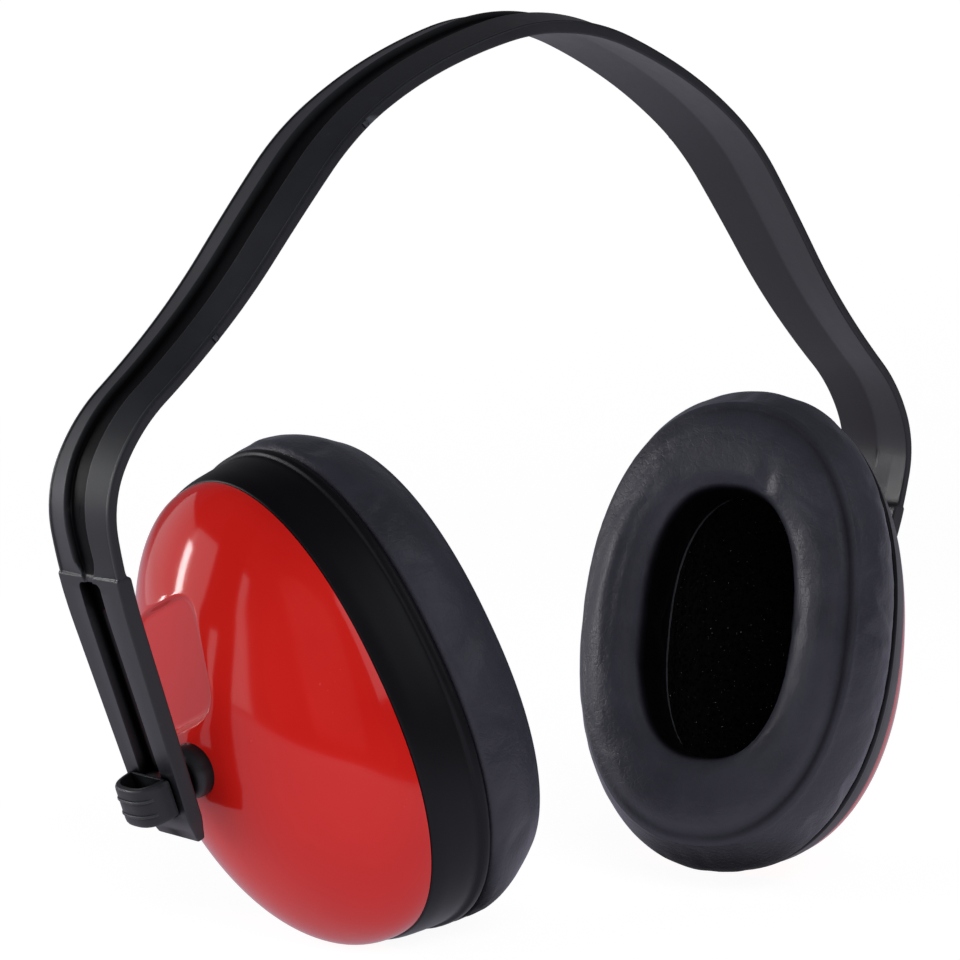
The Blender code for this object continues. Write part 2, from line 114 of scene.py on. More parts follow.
def bell(distance, spread):
    return math.exp(-(distance / spread) ** 2)


def along(table, station):
    """Value of a (station, value) table, straight between its entries."""
    for (start, first), (end, last) in zip(table, table[1:]):
        if station <= end:
            return mix(first, last, (station - start) / (end - start))
    return table[-1][1]


# ------------------------------------------------------------------ materials
# Scales, distances and radii are per metre and in metres.
class Shader:
    """A material with short calls that add and join its nodes."""

    def __init__(self, name):
        self.material = bpy.data.materials.new(name)
        self.material.use_nodes = True
        self.tree = self.material.node_tree
        self.coords = self.tree.nodes.new("ShaderNodeTexCoord").outputs["Object"]

    def add(self, kind, inputs=None, **settings):
        node = self.tree.nodes.new(kind)
        for key, value in settings.items():
            setattr(node, key, value)
        for key, value in (inputs or {}).items():
            self.feed(node.inputs[key], value)
        return node

    def feed(self, socket, value):
        if isinstance(value, bpy.types.NodeSocket):
            self.tree.links.new(value, socket)
        elif isinstance(value, tuple) and len(value) == 3 and socket.type == "RGBA":
            socket.default_value = (*value, 1.0)
        else:
            socket.default_value = value

    def noise(self, scale, detail=4.0, rough=0.55, coords=None):
        return self.add("ShaderNodeTexNoise", {
            "Vector": coords or self.coords, "Scale": scale,
            "Detail": detail, "Roughness": rough}).outputs["Fac"]

    def voronoi(self, scale, feature="F1", coords=None):
        return self.add("ShaderNodeTexVoronoi", {"Vector": coords or self.coords, "Scale": scale},
                        feature=feature).outputs["Distance"]

    def stretched(self, **settings):
        inputs = {"Vector": self.coords, **settings}
        return self.add("ShaderNodeMapping", inputs).outputs["Vector"]

    def attribute(self, name):
        return self.add("ShaderNodeAttribute", attribute_name=name).outputs["Fac"]

    def span(self, value, over, to=(0.0, 1.0)):
        """Maps the range `over` onto the range `to`, clamped."""
        return self.add("ShaderNodeMapRange", {
            "Value": value, "From Min": over[0], "From Max": over[1],
            "To Min": to[0], "To Max": to[1]}).outputs["Result"]

    def times(self, value, by):
        return self.add("ShaderNodeMath", {0: value, 1: by}, operation="MULTIPLY").outputs[0]

    def plus(self, value, other):
        return self.add("ShaderNodeMath", {0: value, 1: other}, operation="ADD").outputs[0]

    def blend(self, factor, low, high):
        return self.add("ShaderNodeMix", {0: factor, 6: low, 7: high}, data_type="RGBA").outputs[2]

    def bump(self, height, strength, distance, normal=None):
        inputs = {"Height": height, "Strength": strength, "Distance": distance}
        if normal is not None:
            inputs["Normal"] = normal
        return self.add("ShaderNodeBump", inputs).outputs["Normal"]

    def rounded(self, radius):
        return self.add("ShaderNodeBevel", {"Radius": radius}, samples=4).outputs["Normal"]

    def crevice(self, distance, over, least):
        """1 on open faces, falling to `least` where grooves and hollows shade themselves."""
        open_sky = self.add("ShaderNodeAmbientOcclusion", {"Distance": distance}, samples=4)
        return self.span(open_sky.outputs["AO"], over=over, to=(least, 1.0))

    def dim(self, colour, by):
        return self.add("ShaderNodeVectorMath", {0: colour, "Scale": by},
                        operation="SCALE").outputs[0]

    def set(self, **inputs):
        shader = self.tree.nodes.get("Principled BSDF")
        for key, value in inputs.items():
            self.feed(shader.inputs[key.replace("_", " ")], value)
        return self.material


def moulded_black(name, colour, rough, grain=0.25, tint=(0.05, 0.053, 0.062)):
    """Satin moulded plastic: fine spark grain, faint flow mottling, scuffs, painted highlights on
    convex edges and painted shade in hollows.
    """
    mat = Shader(name)
    normal = mat.rounded(radius=0.00022)
    fine = mat.noise(scale=5200.0, detail=3.0)
    flow = mat.noise(scale=38.0, detail=5.0, rough=0.6)
    scuffs = mat.noise(scale=420.0, detail=6.0, rough=0.7)
    normal = mat.bump(flow, strength=0.05, distance=0.0006, normal=normal)
    normal = mat.bump(fine, strength=grain, distance=0.00003, normal=normal)
    worn = mat.times(mat.span(scuffs, over=(0.62, 0.78)), by=0.35)
    # painted highlight: convex edges, where pointiness is high, lightened towards the tint and broken
    # up by the scuff noise
    point = mat.add("ShaderNodeNewGeometry").outputs["Pointiness"]
    edge_highlight = mat.times(mat.span(point, over=(0.53, 0.62), to=(0.0, 0.75)),
                       by=mat.span(scuffs, over=(0.3, 0.6), to=(0.55, 1.0)))
    shade = mat.blend(mat.span(flow, over=(0.3, 0.75)),
                      low=colour, high=tuple(part * 1.35 for part in colour))
    shade = mat.blend(edge_highlight, low=shade, high=tuple(part * 1.9 for part in tint))
    # painted shade: ambient occlusion darkens colour and specular in hollows, more again in the
    # groove and channel marked on the band
    hollow = mat.crevice(distance=0.0042, over=(0.5, 0.92), least=0.03)
    groove_shade = mat.attribute("hollow")
    hollow = mat.times(hollow, by=mat.span(groove_shade, over=(0.0, 1.0), to=(1.0, 0.16)))
    return mat.set(
        Base_Color=mat.dim(mat.blend(worn, low=shade, high=tint), by=hollow),
        Roughness=mat.span(mat.plus(flow, mat.times(scuffs, by=0.5)), over=(0.4, 1.1),
                           to=(rough - 0.06, rough + 0.1)),
        Normal=normal, Specular_IOR_Level=mat.times(hollow, by=0.5))


def red_shell():
    """High-gloss injection-moulded ABS: slight orange peel, hairline scuffs and dust."""
    mat = Shader("shell_red_gloss")
    peel = mat.noise(scale=190.0, detail=2.0, rough=0.4)
    wave = mat.noise(scale=34.0, detail=2.0, rough=0.4)
    streaks = mat.stretched(Rotation=(0.6, 0.3, 0.9), Scale=(60.0, 900.0, 700.0))
    scratch = mat.noise(scale=1.0, detail=3.0, rough=0.5, coords=streaks)
    specks = mat.span(mat.voronoi(scale=900.0), over=(0.03, 0.06), to=(1.0, 0.0))
    rare = mat.span(mat.noise(scale=70.0, detail=2.0), over=(0.60, 0.68))
    specks = mat.times(specks, by=rare)
    normal = mat.bump(wave, strength=0.035, distance=0.0012)
    normal = mat.bump(peel, strength=0.02, distance=0.0003, normal=normal)
    hair = mat.span(scratch, over=(0.72, 0.80), to=(0.0, 0.22))
    colour = mat.blend(mat.span(wave, over=(0.3, 0.7)),
                       low=(0.66, 0.013, 0.010), high=(0.74, 0.020, 0.014))
    colour = mat.blend(mat.times(specks, by=0.5), low=colour, high=(0.85, 0.45, 0.42))
    return mat.set(
        Base_Color=colour,
        Roughness=mat.plus(mat.span(wave, over=(0.3, 0.7), to=(0.09, 0.14)), hair),
        Normal=normal, Specular_IOR_Level=0.5, Coat_Weight=0.1, Coat_Roughness=0.04)


def leatherette():
    """Black vinyl leatherette: fine pebble grain, soft sheen, a little bloom, painted shade in the
    opening and beside the seam.
    """
    mat = Shader("leatherette_black")
    warp = mat.add("ShaderNodeVectorMath", {0: mat.coords}, operation="ADD")
    jitter = mat.add("ShaderNodeTexNoise", {"Vector": mat.coords, "Scale": 600.0, "Detail": 2.0})
    mat.feed(warp.inputs[1], mat.dim(jitter.outputs["Color"], by=0.0011))
    pebble = mat.voronoi(scale=1100.0, feature="SMOOTH_F1", coords=warp.outputs[0])
    cracks = mat.voronoi(scale=640.0, feature="DISTANCE_TO_EDGE", coords=warp.outputs[0])
    soft = mat.noise(scale=60.0, detail=4.0, rough=0.6)
    creases = mat.noise(scale=300.0, detail=5.0, rough=0.65)
    height = mat.plus(mat.times(pebble, by=0.7),
                      mat.times(mat.span(cracks, over=(0.0, 0.12)), by=0.3))
    normal = mat.bump(creases, strength=0.10, distance=0.0002)
    normal = mat.bump(height, strength=0.55, distance=0.00013, normal=normal)
    colour = mat.blend(mat.span(soft, over=(0.3, 0.75)),
                       low=(0.026, 0.026, 0.036), high=(0.040, 0.040, 0.055))
    # painted shade: ambient occlusion darkens colour, specular and sheen inside the opening; the
    # marked inner wall goes nearly black and the crease beside the seam darker
    hollow = mat.crevice(distance=0.022, over=(0.40, 0.72), least=0.04)
    for name, least in (("inner_wall_shade", 0.05), ("seam", 0.35)):
        mark = mat.attribute(name)
        hollow = mat.times(hollow, by=mat.span(mark, over=(0.0, 1.0), to=(1.0, least)))
    return mat.set(
        Base_Color=mat.dim(colour, by=hollow),
        Roughness=mat.span(soft, over=(0.3, 0.75), to=(0.36, 0.50)), Normal=normal,
        Specular_IOR_Level=mat.times(hollow, by=0.5), Sheen_Weight=mat.times(hollow, by=0.12),
        Sheen_Roughness=0.4, Sheen_Tint=(0.72, 0.76, 0.95))


def open_foam():
    """Black open-cell foam: pits painted darker as shade, and painted glints where cell walls would
    catch the light, more on the front side.
    """
    mat = Shader("foam_black_open_cell")
    cells = mat.voronoi(scale=900.0)
    fine = mat.voronoi(scale=2300.0)
    # painted shade: the cell pits a little darker
    pits = mat.span(cells, over=(0.12, 0.5), to=(1.0, 0.0))
    # painted light: glints come more often on the front side, where the light falls
    fore_aft = mat.add("ShaderNodeSeparateXYZ", {"Vector": mat.coords}).outputs["Y"]
    front = mat.span(fore_aft, over=(0.002, -0.012), to=(0.0, 0.09))
    cell_wall = mat.times(mat.noise(scale=1900.0, detail=2.0, rough=0.6),
                          by=mat.span(fine, over=(0.0, 0.5), to=(1.0, 0.4)))
    glint = mat.span(mat.plus(cell_wall, front), over=(0.53, 0.61))
    normal = mat.bump(cells, strength=1.0, distance=0.0007)
    normal = mat.bump(fine, strength=0.7, distance=0.0002, normal=normal)
    # painted shade in the pits, then painted glints in pale grey
    colour = mat.blend(pits, low=(0.0035, 0.0035, 0.004), high=(0.001, 0.001, 0.001))
    colour = mat.blend(glint, low=colour, high=(0.55, 0.55, 0.60))
    return mat.set(
        Base_Color=colour, Roughness=mat.span(glint, over=(0.0, 1.0), to=(0.8, 0.2)),
        Normal=normal, Specular_IOR_Level=mat.span(glint, over=(0.0, 1.0), to=(0.12, 0.9)))


def rim_plastic():
    """Satin black with soft flow marks and a few specks of dust."""
    mat = Shader("rim_black_satin")
    fine = mat.noise(scale=3800.0, detail=3.0)
    flow = mat.noise(scale=30.0, detail=4.0, rough=0.6)
    dust = mat.span(mat.voronoi(scale=500.0), over=(0.02, 0.05), to=(1.0, 0.0))
    rare = mat.span(mat.noise(scale=55.0, detail=2.0), over=(0.60, 0.70))
    normal = mat.bump(flow, strength=0.05, distance=0.0007, normal=mat.rounded(radius=0.00025))
    normal = mat.bump(fine, strength=0.16, distance=0.00003, normal=normal)
    colour = mat.blend(mat.span(flow, over=(0.3, 0.7)),
                       low=(0.0035, 0.0035, 0.0048), high=(0.0055, 0.0055, 0.0072))
    colour = mat.blend(mat.times(mat.times(dust, by=rare), by=0.4),
                       low=colour, high=(0.25, 0.25, 0.25))
    return mat.set(Base_Color=colour, Normal=normal, Specular_IOR_Level=0.3,
                   Roughness=mat.span(flow, over=(0.3, 0.7), to=(0.34, 0.44)))


def spring_steel():
    """Bright steel with fine drawn lines."""
    mat = Shader("clip_spring_steel")
    lines = mat.noise(scale=1.0, detail=4.0, rough=0.6,
                      coords=mat.stretched(Scale=(4000.0, 300.0, 300.0)))
    return mat.set(
        Base_Color=mat.blend(lines, low=(0.42, 0.42, 0.43), high=(0.62, 0.62, 0.63)),
        Metallic=1.0, Roughness=mat.span(lines, over=(0.3, 0.7), to=(0.22, 0.36)),
        Normal=mat.bump(lines, strength=0.1, distance=0.00002))


BAND_MAT = moulded_black("band_satin_black", colour=(0.014, 0.0148, 0.0175), rough=0.34)
KNOB_MAT = moulded_black("slider_satin_black", colour=(0.013, 0.0138, 0.016), rough=0.36)
STUD_MAT = moulded_black("stud_acetal_black", colour=(0.018, 0.018, 0.020), rough=0.28, grain=0.08)
SEAT_MAT = moulded_black("seat_nylon_grey", colour=(0.07, 0.07, 0.075), rough=0.42, grain=0.15,
                         tint=(0.14, 0.14, 0.15))
PLATE_MAT = moulded_black("plate_matte_black", colour=(0.016, 0.016, 0.018), rough=0.5, grain=0.3)
RIM_MAT = rim_plastic()
RED_MAT = red_shell()
SKIN_MAT = leatherette()
FOAM_MAT = open_foam()
CLIP_MAT = spring_steel()


# ------------------------------------------------------------------ mesh helpers
def object_from(name, points, faces, mat, matrix=None, sharp_angle=None):
    """Smooth-shaded object from millimetre points, its normals facing out."""
    mesh = bpy.data.meshes.new(name)
    mesh.from_pydata([tuple(float(value) * MM for value in point) for point in points], [], faces)
    if matrix is not None:
        mesh.transform(matrix)
    bm = bmesh.new()
    bm.from_mesh(mesh)
    bmesh.ops.recalc_face_normals(bm, faces=bm.faces)
    if bm.calc_volume(signed=True) < 0:
        bmesh.ops.reverse_faces(bm, faces=bm.faces)
    bm.to_mesh(mesh)
    bm.free()
    mesh.shade_smooth()
    if sharp_angle:
        mesh.set_sharp_from_angle(angle=math.radians(sharp_angle))
    obj = bpy.data.objects.new(name, mesh)
    scene.collection.objects.link(obj)
    mesh.materials.append(mat)
    return obj


def ring_faces(rows, count, close_rows=False):
    """Quads between rows that are each a closed ring of `count` points."""
    faces = []
    for i in range(rows if close_rows else rows - 1):
        k = (i + 1) % rows
        for j in range(count):
            m = (j + 1) % count
            faces.append((i * count + j, i * count + m, k * count + m, k * count + j))
    return faces


def fan_faces(first, count, hub):
    return [(first + j, first + (j + 1) % count, hub) for j in range(count)]


def loft(name, rows, mat, matrix=None):
    """Solid through rows of points, with a flat cap at each end."""
    count = len(rows[0])
    points = [point for row in rows for point in row]
    caps = [tuple(range(count)), tuple(range(len(points) - count, len(points)))]
    return object_from(name, points, ring_faces(len(rows), count) + caps, mat, matrix)


def rounded(corners, steps=4):
    """Closed outline with each (a, b, radius) corner eased into a short curve."""
    out = []
    for i, (across, up, radius) in enumerate(corners):
        here = Vector((across, up))
        before = Vector(corners[i - 1][:2]) - here
        after = Vector(corners[(i + 1) % len(corners)][:2]) - here
        one = here + before.normalized() * min(radius, before.length * 0.45)
        two = here + after.normalized() * min(radius, after.length * 0.45)
        for k in range(steps + 1):
            t = k / steps
            out.append(one * (1 - t) ** 2 + here * 2 * t * (1 - t) + two * t * t)
    return out


def rounded_box(half_width, half_length, radius, steps):
    signs = ((-1, -1), (1, -1), (1, 1), (-1, 1))
    return rounded([(i * half_width, j * half_length, radius) for i, j in signs], steps)


def box_prism(name, depths, width, length, matrix, corner, mat=BAND_MAT):
    """Straight block along X whose outline is a rounded rectangle in Y and Z."""
    outline = rounded_box(width / 2, length / 2, corner, 6)
    return loft(name, [[(depth, y, z) for y, z in outline] for depth in depths], mat, matrix)


def cut(obj, cutters):
    """Cuts the cutters away for good, then crisps the edges left behind."""
    for cutter in cutters:
        modifier = obj.modifiers.new("cut", "BOOLEAN")
        modifier.object = cutter
        modifier.operation = "DIFFERENCE"
        modifier.solver = "EXACT"
    bpy.context.view_layer.update()
    graph = bpy.context.evaluated_depsgraph_get()
    made = bpy.data.meshes.new_from_object(obj.evaluated_get(graph))
    obj.modifiers.clear()
    obj.data = made
    for cutter in cutters:
        bpy.data.objects.remove(cutter, do_unlink=True)
    made.shade_smooth()
    made.set_sharp_from_angle(angle=math.radians(38))
    modifier = obj.modifiers.new("normals", "WEIGHTED_NORMAL")
    modifier.keep_sharp = True
    modifier.weight = 60


def arm_matrix(inward, upward, origin):
    """Frame with X along the arm's inward normal and Z up the arm."""
    made = Matrix((inward, upward.cross(inward), upward)).transposed().to_4x4()
    made.translation = origin
    return made


# ------------------------------------------------------------------ headband
def band_path():
    """(x, z, heading) every PATH_STEP from the crown to the end of the right arm."""
    points, x, z, station = [], 0.0, CROWN_Z, 0.0
    while station <= ARM_END + 1e-6:
        points.append((x, z, math.radians(along(HEADINGS, station))))
        turn = math.radians(along(HEADINGS, station + PATH_STEP / 2))
        x += math.cos(turn) * PATH_STEP
        z -= math.sin(turn) * PATH_STEP
        station += PATH_STEP
    return points


PATH = band_path()


def band_point(station):
    k = min(len(PATH) - 2, max(0, int(station / PATH_STEP)))
    share = station / PATH_STEP - k
    return tuple(mix(start, end, share) for start, end in zip(PATH[k], PATH[k + 1]))


def band_section(station):
    """Closed outline of (y, depth) points; depth runs inward from the path."""
    half = along(WIDTHS, station) / 2
    arm = smooth(LEDGE - 0.3, LEDGE + 0.3, station)
    outer = -ARM_RAISE * arm
    inner = mix(along(EDGE_WALL, station), ARM_INNER, smooth(LEDGE - 0.6, LEDGE + 0.6, station))
    crease = mix(BAND_CREASE, 0.0, smooth(LEDGE - 14, LEDGE, station))
    full_mouth = half * GROOVE_SHARE
    closing = smooth(LEDGE - 4.0, LEDGE + 4.2, station)     # the groove runs out at the ledge
    mouth = full_mouth * (1 - 0.9 * closing)
    floor = max(mouth * 0.45, mouth - mix(1.3, 0.5, smooth(60, 130, station)))
    depth = GROOVE_DEPTH * (1 - closing)
    top = outer - along(RIDGE, station) * (1 - GROOVE_SHARE) * (1 - arm)
    bead = 0.26 * (1 - arm)

    def rail(y):
        """Depth of the slope from the edge up to the groove's lip."""
        return mix(outer, top, (half - y) / (half - full_mouth))

    # (y, depth, corner radius) from the inner edge to the groove's floor
    corners = [(half, inner, 0.45), (half, outer, 0.4), (half - 0.8, rail(half - 0.8), 0.2),
               (half - 1.05, rail(half - 1.05) + bead, 0.2), (mouth, top, 0.28),
               (floor, top + depth, 0.3)]
    mirrored = [(-y, deep, radius) for y, deep, radius in reversed(corners)]
    middle = [(-half * 0.5, inner - crease * 0.52, 0.3),
              (0.0, inner - crease - 0.12 * (1 - arm), 0.5),
              (half * 0.5, inner - crease * 0.52, 0.3)]
    tip = smooth(ARM_END - 6.0, ARM_END, station)
    points = []
    for y, deep in rounded(corners + mirrored + middle, 4):
        if deep < 1.0:
            deep += 1.5 * tip           # the outer face slopes in at the tip
        points.append((y * (1 - 0.16 * tip), deep))
    return points


def band_ring(station, side, shrink=0.0):
    """The section placed in the world, drawn in all round by `shrink`."""
    x, z, turn = band_point(station)
    inward = Vector((-math.sin(turn), 0, -math.cos(turn)))
    cant = math.radians(CROWN_CANT) * (1 - smooth(0, CANT_LENGTH, station))
    section = band_section(station)
    ys, depths = zip(*section)
    centre_y = sum(ys) / len(section)
    centre_depth = (min(depths) + max(depths)) / 2
    half = max(ys)
    half_depth = max(depths) - centre_depth
    ring = []
    for y, depth in section:
        if shrink:
            y = centre_y + (y - centre_y) * (1 - shrink / half)
            depth = centre_depth + (depth - centre_depth) * (1 - shrink / half_depth)
        across = y * math.cos(cant) + depth * math.sin(cant)
        down = depth * math.cos(cant) - y * math.sin(cant)
        point = Vector((x, across, z)) + inward * down
        ring.append((side * point.x, point.y + BAND_Y, point.z))
    return ring


def station_frame(side, station):
    x, z, turn = band_point(station)
    inward = Vector((-math.sin(turn) * side, 0, -math.cos(turn)))
    upward = Vector((-math.cos(turn) * side, 0, math.sin(turn)))
    return arm_matrix(inward, upward, Vector((side * x, BAND_Y, z)) * MM)


def shade_hollows(mesh):
    """Marks the groove and the slider channel, for painted shade there."""
    place = np.array([v.co for v in mesh.vertices], float) / MM
    normals = np.array([v.normal for v in mesh.vertices], float)
    spine = np.array(PATH)
    marks = np.zeros(len(place))
    chunk = 4000                # vertices at a time, to spare memory
    for start in range(0, len(place), chunk):
        part = place[start:start + chunk]
        gap = (np.abs(part[:, :1]) - spine[None, :, 0]) ** 2 + (part[:, 2:3] - spine[None, :, 1]) ** 2
        near = gap.argmin(1)
        x, z, turn = spine[near, 0], spine[near, 1], spine[near, 2]
        depth = -(np.abs(part[:, 0]) - x) * np.sin(turn) - (part[:, 2] - z) * np.cos(turn)
        across = np.abs(part[:, 1] - BAND_Y)
        facing = normals[start:start + chunk]
        facing_in = -facing[:, 0] * np.sign(part[:, 0]) * np.sin(turn) - facing[:, 2] * np.cos(turn)
        for i, k in enumerate(near):
            station = k * PATH_STEP
            if station < LEDGE - 1.0:
                mouth = along(WIDTHS, station) / 2 * GROOVE_SHARE
                top = -along(RIDGE, station) * (1 - GROOVE_SHARE)
                lean = math.radians(CROWN_CANT) * (1 - smooth(0, CANT_LENGTH, station)) * mouth
                inside = (across[i] < mouth - 0.25
                          and top + 0.35 - lean < depth[i] < top + GROOVE_DEPTH + 0.35 + lean)
            else:
                inside = across[i] < CHANNEL_WIDTH / 2 + 0.1 and 0.4 < depth[i] < ARM_INNER - 0.1
            marks[start + i] = 1.0 if inside and not facing_in[i] > 0.5 else 0.0
    layer = mesh.attributes.new("hollow", "FLOAT", "POINT")
    layer.data.foreach_set("value", marks.astype(np.float32))


def build_nib(number, side, station):
    """Small moulding nib standing off the band's edge."""
    half = along(WIDTHS, station) / 2
    at = station_frame(side, station) @ Matrix.Translation(Vector((1.0, -half - 0.1, 0)) * MM)
    outline = rounded_box(0.7, 0.6, 0.3, 3)
    # (y, scale of the outline)
    rows = [[(x * scale, y, z * scale) for x, z in outline]
            for y, scale in ((0.6, 1.0), (-0.15, 1.0), (-0.4, 0.8))]
    nib = loft(f"headband_nib_{number}", rows, BAND_MAT, at)
    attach(nib, "headband")


def build_headband():
    """Rings are closest together at the ledge and the tip."""
    stations = list(np.arange(0.75, LEDGE - 6, 1.5))
    stations += list(np.arange(LEDGE - 5.5, LEDGE - 0.4, 0.9))
    stations += [LEDGE - before for before in (0.32, 0.16, 0.0, -0.16, -0.32)]
    stations += list(np.arange(LEDGE + 0.8, CHANNEL_START + 1, 0.7))
    stations += list(np.arange(CHANNEL_START + 2, ARM_END - 6, 2.0))
    stations += list(np.arange(ARM_END - 6, ARM_END - 0.5, 0.8))
    stations = sorted(set(round(float(station), 3) for station in stations))
    # (station, shrink): the body, then the rounded tip
    rows = [(station, 0.0) for station in stations]
    rows += [(ARM_END - 0.35, 0.08), (ARM_END - 0.12, 0.25), (ARM_END, 0.55)]
    rings = [band_ring(station, -1, shrink) for station, shrink in reversed(rows)]
    rings += [band_ring(station, 1, shrink) for station, shrink in rows]
    band = loft("headband_moulding", rings, BAND_MAT)
    cutters = []
    for side, word in ((-1, "left"), (1, "right")):
        cutters.append(box_prism(
            f"{word}_channel", (-6.0, CHANNEL_FLOOR), CHANNEL_WIDTH, CHANNEL_END - CHANNEL_START,
            station_frame(side, (CHANNEL_START + CHANNEL_END) / 2), corner=1.6))
        cutters.append(box_prism(
            f"{word}_slit", (-4.0, 9.0), SLIT_WIDTH, SLIT_END - SLIT_START,
            station_frame(side, (SLIT_START + SLIT_END) / 2), corner=1.2))
    cut(band, cutters)
    shade_hollows(band.data)
    for number, (side, station) in enumerate(NIBS):
        build_nib(number, side, station)
    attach(band, "headband")
    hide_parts("headband")


# ------------------------------------------------------------------ cup outlines
# In every cup builder `inward` is the sign of world X that points to the head.
def oval(angle, half_z, half_y, power=OVAL_POWER, drop=0.0):
    """(y, z) on a superellipse; the angle runs from the top towards +Y."""
    cosine, sine = math.cos(angle), math.sin(angle)
    y = math.copysign(abs(sine) ** (2 / power), sine) * half_y
    z = math.copysign(abs(cosine) ** (2 / power), cosine) * half_z
    return y, z + CUP_LIFT - drop


def shell_oval(angle, offset):
    """The shell's oval, drawn in by `offset`."""
    return oval(angle, SHELL_HALF_Z - offset, SHELL_HALF_Y - offset)


def spaced_angles(count):
    """Angles that space the shell oval's points evenly along its outline."""
    fine = np.linspace(0, 2 * math.pi, 2881)
    ring = np.array([shell_oval(angle, 0.0) for angle in fine])
    length = np.concatenate([[0], np.cumsum(np.hypot(*np.diff(ring, axis=0).T))])
    return np.interp(np.linspace(0, length[-1], count, endpoint=False), length, fine)


def dome_x(y, z, inset):
    """X of the dome, `inset` inside the shell's outer face."""
    half_z, half_y = SHELL_HALF_Z - inset, SHELL_HALF_Y - inset
    reach = (abs((z - CUP_LIFT) / half_z) ** OVAL_POWER
             + abs(y / half_y) ** OVAL_POWER) ** (1 / OVAL_POWER)
    reach = min(reach, 1.0)
    power = mix(DOME_POWER, DOME_POWER_TOP, smooth(-14, 24, z))
    return SHELL_EDGE - (DOME_DEPTH - inset) * (1 - reach ** power) ** (1 / power)


# ------------------------------------------------------------------ cup shell
PANEL_MIDDLE = (PANEL_TOP + PANEL_BOTTOM) / 2
# Shares of the way out: over the recess's floor, then up its wall
FLOOR_SHARES = (0.15, 0.3, 0.45, 0.6, 0.72, 0.84, 0.93, 1.0)
WALL_SHARES = (0.12, 0.25, 0.4, 0.55, 0.7, 0.82, 0.92, 1.0)


def smooth_max(one, two, blend):
    return (one + two + math.sqrt((one - two) ** 2 + blend * blend)) / 2


def panel_outline(angles, shrink=0.0):
    """Point of the arm recess's rounded outline for each angle from the top."""
    half_y, half_z = PANEL_HALF - shrink, (PANEL_TOP - PANEL_BOTTOM) / 2 - shrink
    out = []
    for angle in angles:
        cosine, sine = math.cos(angle), math.sin(angle)
        reach = 1.0 / (abs(sine / half_y) ** PANEL_POWER
                       + abs(cosine / half_z) ** PANEL_POWER) ** (1 / PANEL_POWER)
        out.append((sine * reach, PANEL_MIDDLE + cosine * reach))
    return out


def between(first, last, share):
    """The outline part-way from one outline to another."""
    return [(mix(y0, y1, share), mix(z0, z1, share))
            for (y0, z0), (y1, z1) in zip(first, last)]


def shell_skin(angles, inset):
    """Rows of (x, y, z) points from the recess's middle out to the rim."""
    def recess(y, z, raised):
        plain = dome_x(y, z, inset)
        floor = PANEL_FLOOR + PANEL_TILT * max(0.0, z - PANEL_BOTTOM) + inset
        return mix(smooth_max(plain, floor, 0.8), plain, raised), y, z

    centre = [(0.0, PANEL_MIDDLE)] * len(angles)
    floor_edge = panel_outline(angles, PANEL_WALL)
    panel_edge = panel_outline(angles)
    rim = [shell_oval(angle, inset) for angle in angles]
    rows = [[recess(y, z, 0.0) for y, z in between(centre, floor_edge, share)]
            for share in FLOOR_SHARES]
    rows += [[recess(y, z, smooth(0, 1, share)) for y, z in between(floor_edge, panel_edge, share)]
             for share in WALL_SHARES]
    steps = 46
    for i in range(1, steps + 1):
        share = 1 - (1 - i / steps) ** 1.9      # closer together towards the rim
        rows.append([(dome_x(y, z, inset) if i < steps else SHELL_EDGE, y, z)
                     for y, z in between(panel_edge, rim, share)])
    return rows


def build_shell(word, inward, matrix):
    angles = spaced_angles(220)
    outer = shell_skin(angles, 0.0)
    inner = shell_skin(angles, SHELL_WALL)
    count = len(angles)
    rows = outer + list(reversed(inner))
    points = [(inward * x, y, z) for row in rows for x, y, z in row]
    faces = ring_faces(len(rows), count)
    for first, skin in ((0, outer), (len(points) - count, inner)):
        x, y, z = (sum(values) / count for values in zip(*skin[0]))
        points.append((inward * x, y, z))
        faces += fan_faces(first, count, len(points) - 1)
    return object_from(f"{word}_shell_gloss", points, faces, RED_MAT, matrix, 60)


# ------------------------------------------------------------------ cup rim
# (offset, x, corner radius) from the back's outer edge; offset runs in from the
# cushion's widest outline
RIM_CORNERS = (
    (CUSHION_OUT - 0.25, RIM_BACK - 0.1, 0.5), (CUSHION_OUT - 1.1, RIM_BACK + 2.6, 1.6),
    (CUSHION_OUT - 1.9, RIM_FRONT - 4.2, 2.0), (0.05, RIM_FRONT - 1.5, 0.3),
    (-0.75, RIM_FRONT - 1.1, 0.35), (-1.0, RIM_FRONT + 0.1, 0.45), (-0.6, RIM_FRONT + 1.0, 0.35),
    (0.8, RIM_FRONT + 1.0, 0.3), (0.9, RIM_FRONT - 0.8, 0.2), (3.6, RIM_FRONT - 0.8, 0.3),
    (3.6, RIM_FRONT - 2.4, 0.3), (2.3, RIM_FRONT - 2.6, 0.4), (5.0, RIM_BACK, 0.4))


def outer_shape(angle, offset):
    return oval(angle, SHELL_HALF_Z + CUSHION_OUT - offset, SHELL_HALF_Y + CUSHION_OUT - offset)


def swept(name, section, mat, matrix, inward, angles, shape):
    """Closed ring: (offset, x) points carried round the outline shape(angle, offset)."""
    points = []
    for angle in angles:
        for offset, x in section:
            points.append((inward * x, *shape(angle, offset)))
    return object_from(name, points, ring_faces(len(angles), len(section), True), mat, matrix)


def build_rim(word, inward, matrix):
    return swept(f"{word}_rim_band", rounded(RIM_CORNERS, 4), RIM_MAT, matrix, inward,
                 spaced_angles(200), outer_shape)


